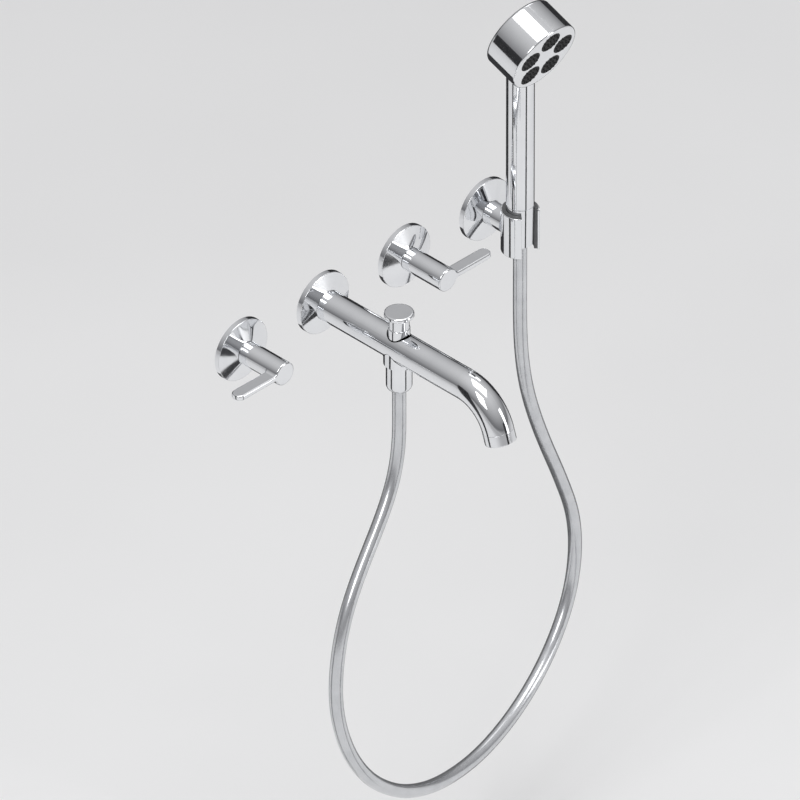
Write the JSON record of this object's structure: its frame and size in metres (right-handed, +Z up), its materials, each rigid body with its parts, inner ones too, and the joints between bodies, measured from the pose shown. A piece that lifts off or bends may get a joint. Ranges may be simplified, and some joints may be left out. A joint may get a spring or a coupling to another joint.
{
  "type": "wall mounted bath faucet",
  "caption": "Wall mounted bath faucet: lever valves beside a curved tub spout with a pull-up diverter, and a wand handset on a long hose that stands in an open wall cradle.",
  "frame": {"origin": "on the spout's axis at the finished wall, in the mouth of the spout's inlet thread", "axes": "+X runs to the right along the wall, towards the handset's bracket; +Y goes into the wall; +Z is up"},
  "size_m": [0.4622, 0.2499, 0.7815],
  "materials": {
    "chrome_plate": "polished chrome plate on brass",
    "bare_brass": "machined",
    "ceramic": "lapped alumina ceramic",
    "seal_rubber": "moulded nitrile rubber",
    "gasket_foam": "closed cell foam",
    "spray_rubber": "moulded black silicone",
    "white_plastic": "moulded acetal",
    "liner_plastic": "moulded nylon",
    "hose_skin": "smooth satin silver sleeve",
    "spring_steel": "drawn stainless wire",
    "screw_steel": "stainless steel"
  },
  "bodies": {
    "root": {"hot_escutcheon": "chrome_plate", "hot_valve_body": "bare_brass", "cold_escutcheon": "chrome_plate", "cold_valve_body": "bare_brass", "wall_gaskets": "gasket_foam", "escutcheon_seals": "seal_rubber", "glide_rings": "white_plastic", "fixed_discs": "ceramic", "port_bases": "white_plastic", "port_seals": "seal_rubber", "spout_escutcheon": "chrome_plate", "spout_body": "chrome_plate", "inlet_adapter": "bare_brass", "inlet_seal": "seal_rubber", "set_screws": "screw_steel", "diverter_cage": "bare_brass", "diverter_bonnet": "chrome_plate", "bonnet_seal": "seal_rubber", "stem_seal": "seal_rubber", "diverter_spring": "spring_steel", "aerator_collar": "chrome_plate", "aerator_insert": "white_plastic", "aerator_washer": "seal_rubber", "hose_outlet": "bare_brass", "check_valve": "white_plastic", "outlet_washer": "seal_rubber", "lower_ferrule": "bare_brass", "lower_hose_nut": "chrome_plate", "shower_hose": "hose_skin", "bracket_escutcheon": "chrome_plate", "bracket_plate": "bare_brass", "bracket_post": "chrome_plate", "cradle": "chrome_plate", "cradle_liner": "liner_plastic", "cradle_screw": "screw_steel"},
    "hot_lever": {"hot_handle": "chrome_plate", "hot_spindle": "bare_brass", "hot_moving_disc": "ceramic", "hot_spindle_seals": "seal_rubber", "hot_handle_screw": "screw_steel"},
    "cold_lever": {"cold_handle": "chrome_plate", "cold_spindle": "bare_brass", "cold_moving_disc": "ceramic", "cold_spindle_seals": "seal_rubber", "cold_handle_screw": "screw_steel"},
    "diverter": {"diverter_knob": "chrome_plate", "diverter_stem": "bare_brass", "diverter_washer": "seal_rubber"},
    "hose_end": {"upper_ferrule": "bare_brass"},
    "handset": {"cone_nut": "chrome_plate", "handset_washer": "seal_rubber", "wand_inlet": "bare_brass", "wand_tube": "chrome_plate", "wand_liner": "white_plastic", "head_shell": "chrome_plate", "flow_plate": "white_plastic", "head_seal": "seal_rubber", "face_plate": "chrome_plate", "spray_pads": "spray_rubber"}
  },
  "joints": [
    {"name": "hot_turn", "type": "hinge", "parent": "root", "child": "hot_lever", "pos_m": [-0.1016, 0, 0], "axis": [0, -1, 0], "range_deg": [0, 90]},
    {"name": "cold_turn", "type": "hinge", "parent": "root", "child": "cold_lever", "pos_m": [0.1016, 0, 0], "axis": [0, 1, 0], "range_deg": [0, 90]},
    {"name": "diverter_lift", "type": "slide", "parent": "root", "child": "diverter", "axis": [0, 0, 1], "range_m": [0, 0.0084], "stiffness_N_per_m": 80, "springref_m": -0.01, "deforming": ["diverter_spring"]},
    {"name": "handset_lift", "type": "slide", "parent": "root", "child": "hose_end", "axis": [0, 0, 1], "range_m": [0, 0.06]},
    {"name": "handset_turn", "type": "hinge", "parent": "hose_end", "child": "handset", "pos_m": [0.2032, -0.0462, 0], "axis": [0, 0, 1], "range_deg": [-90, 90]}
  ]
}
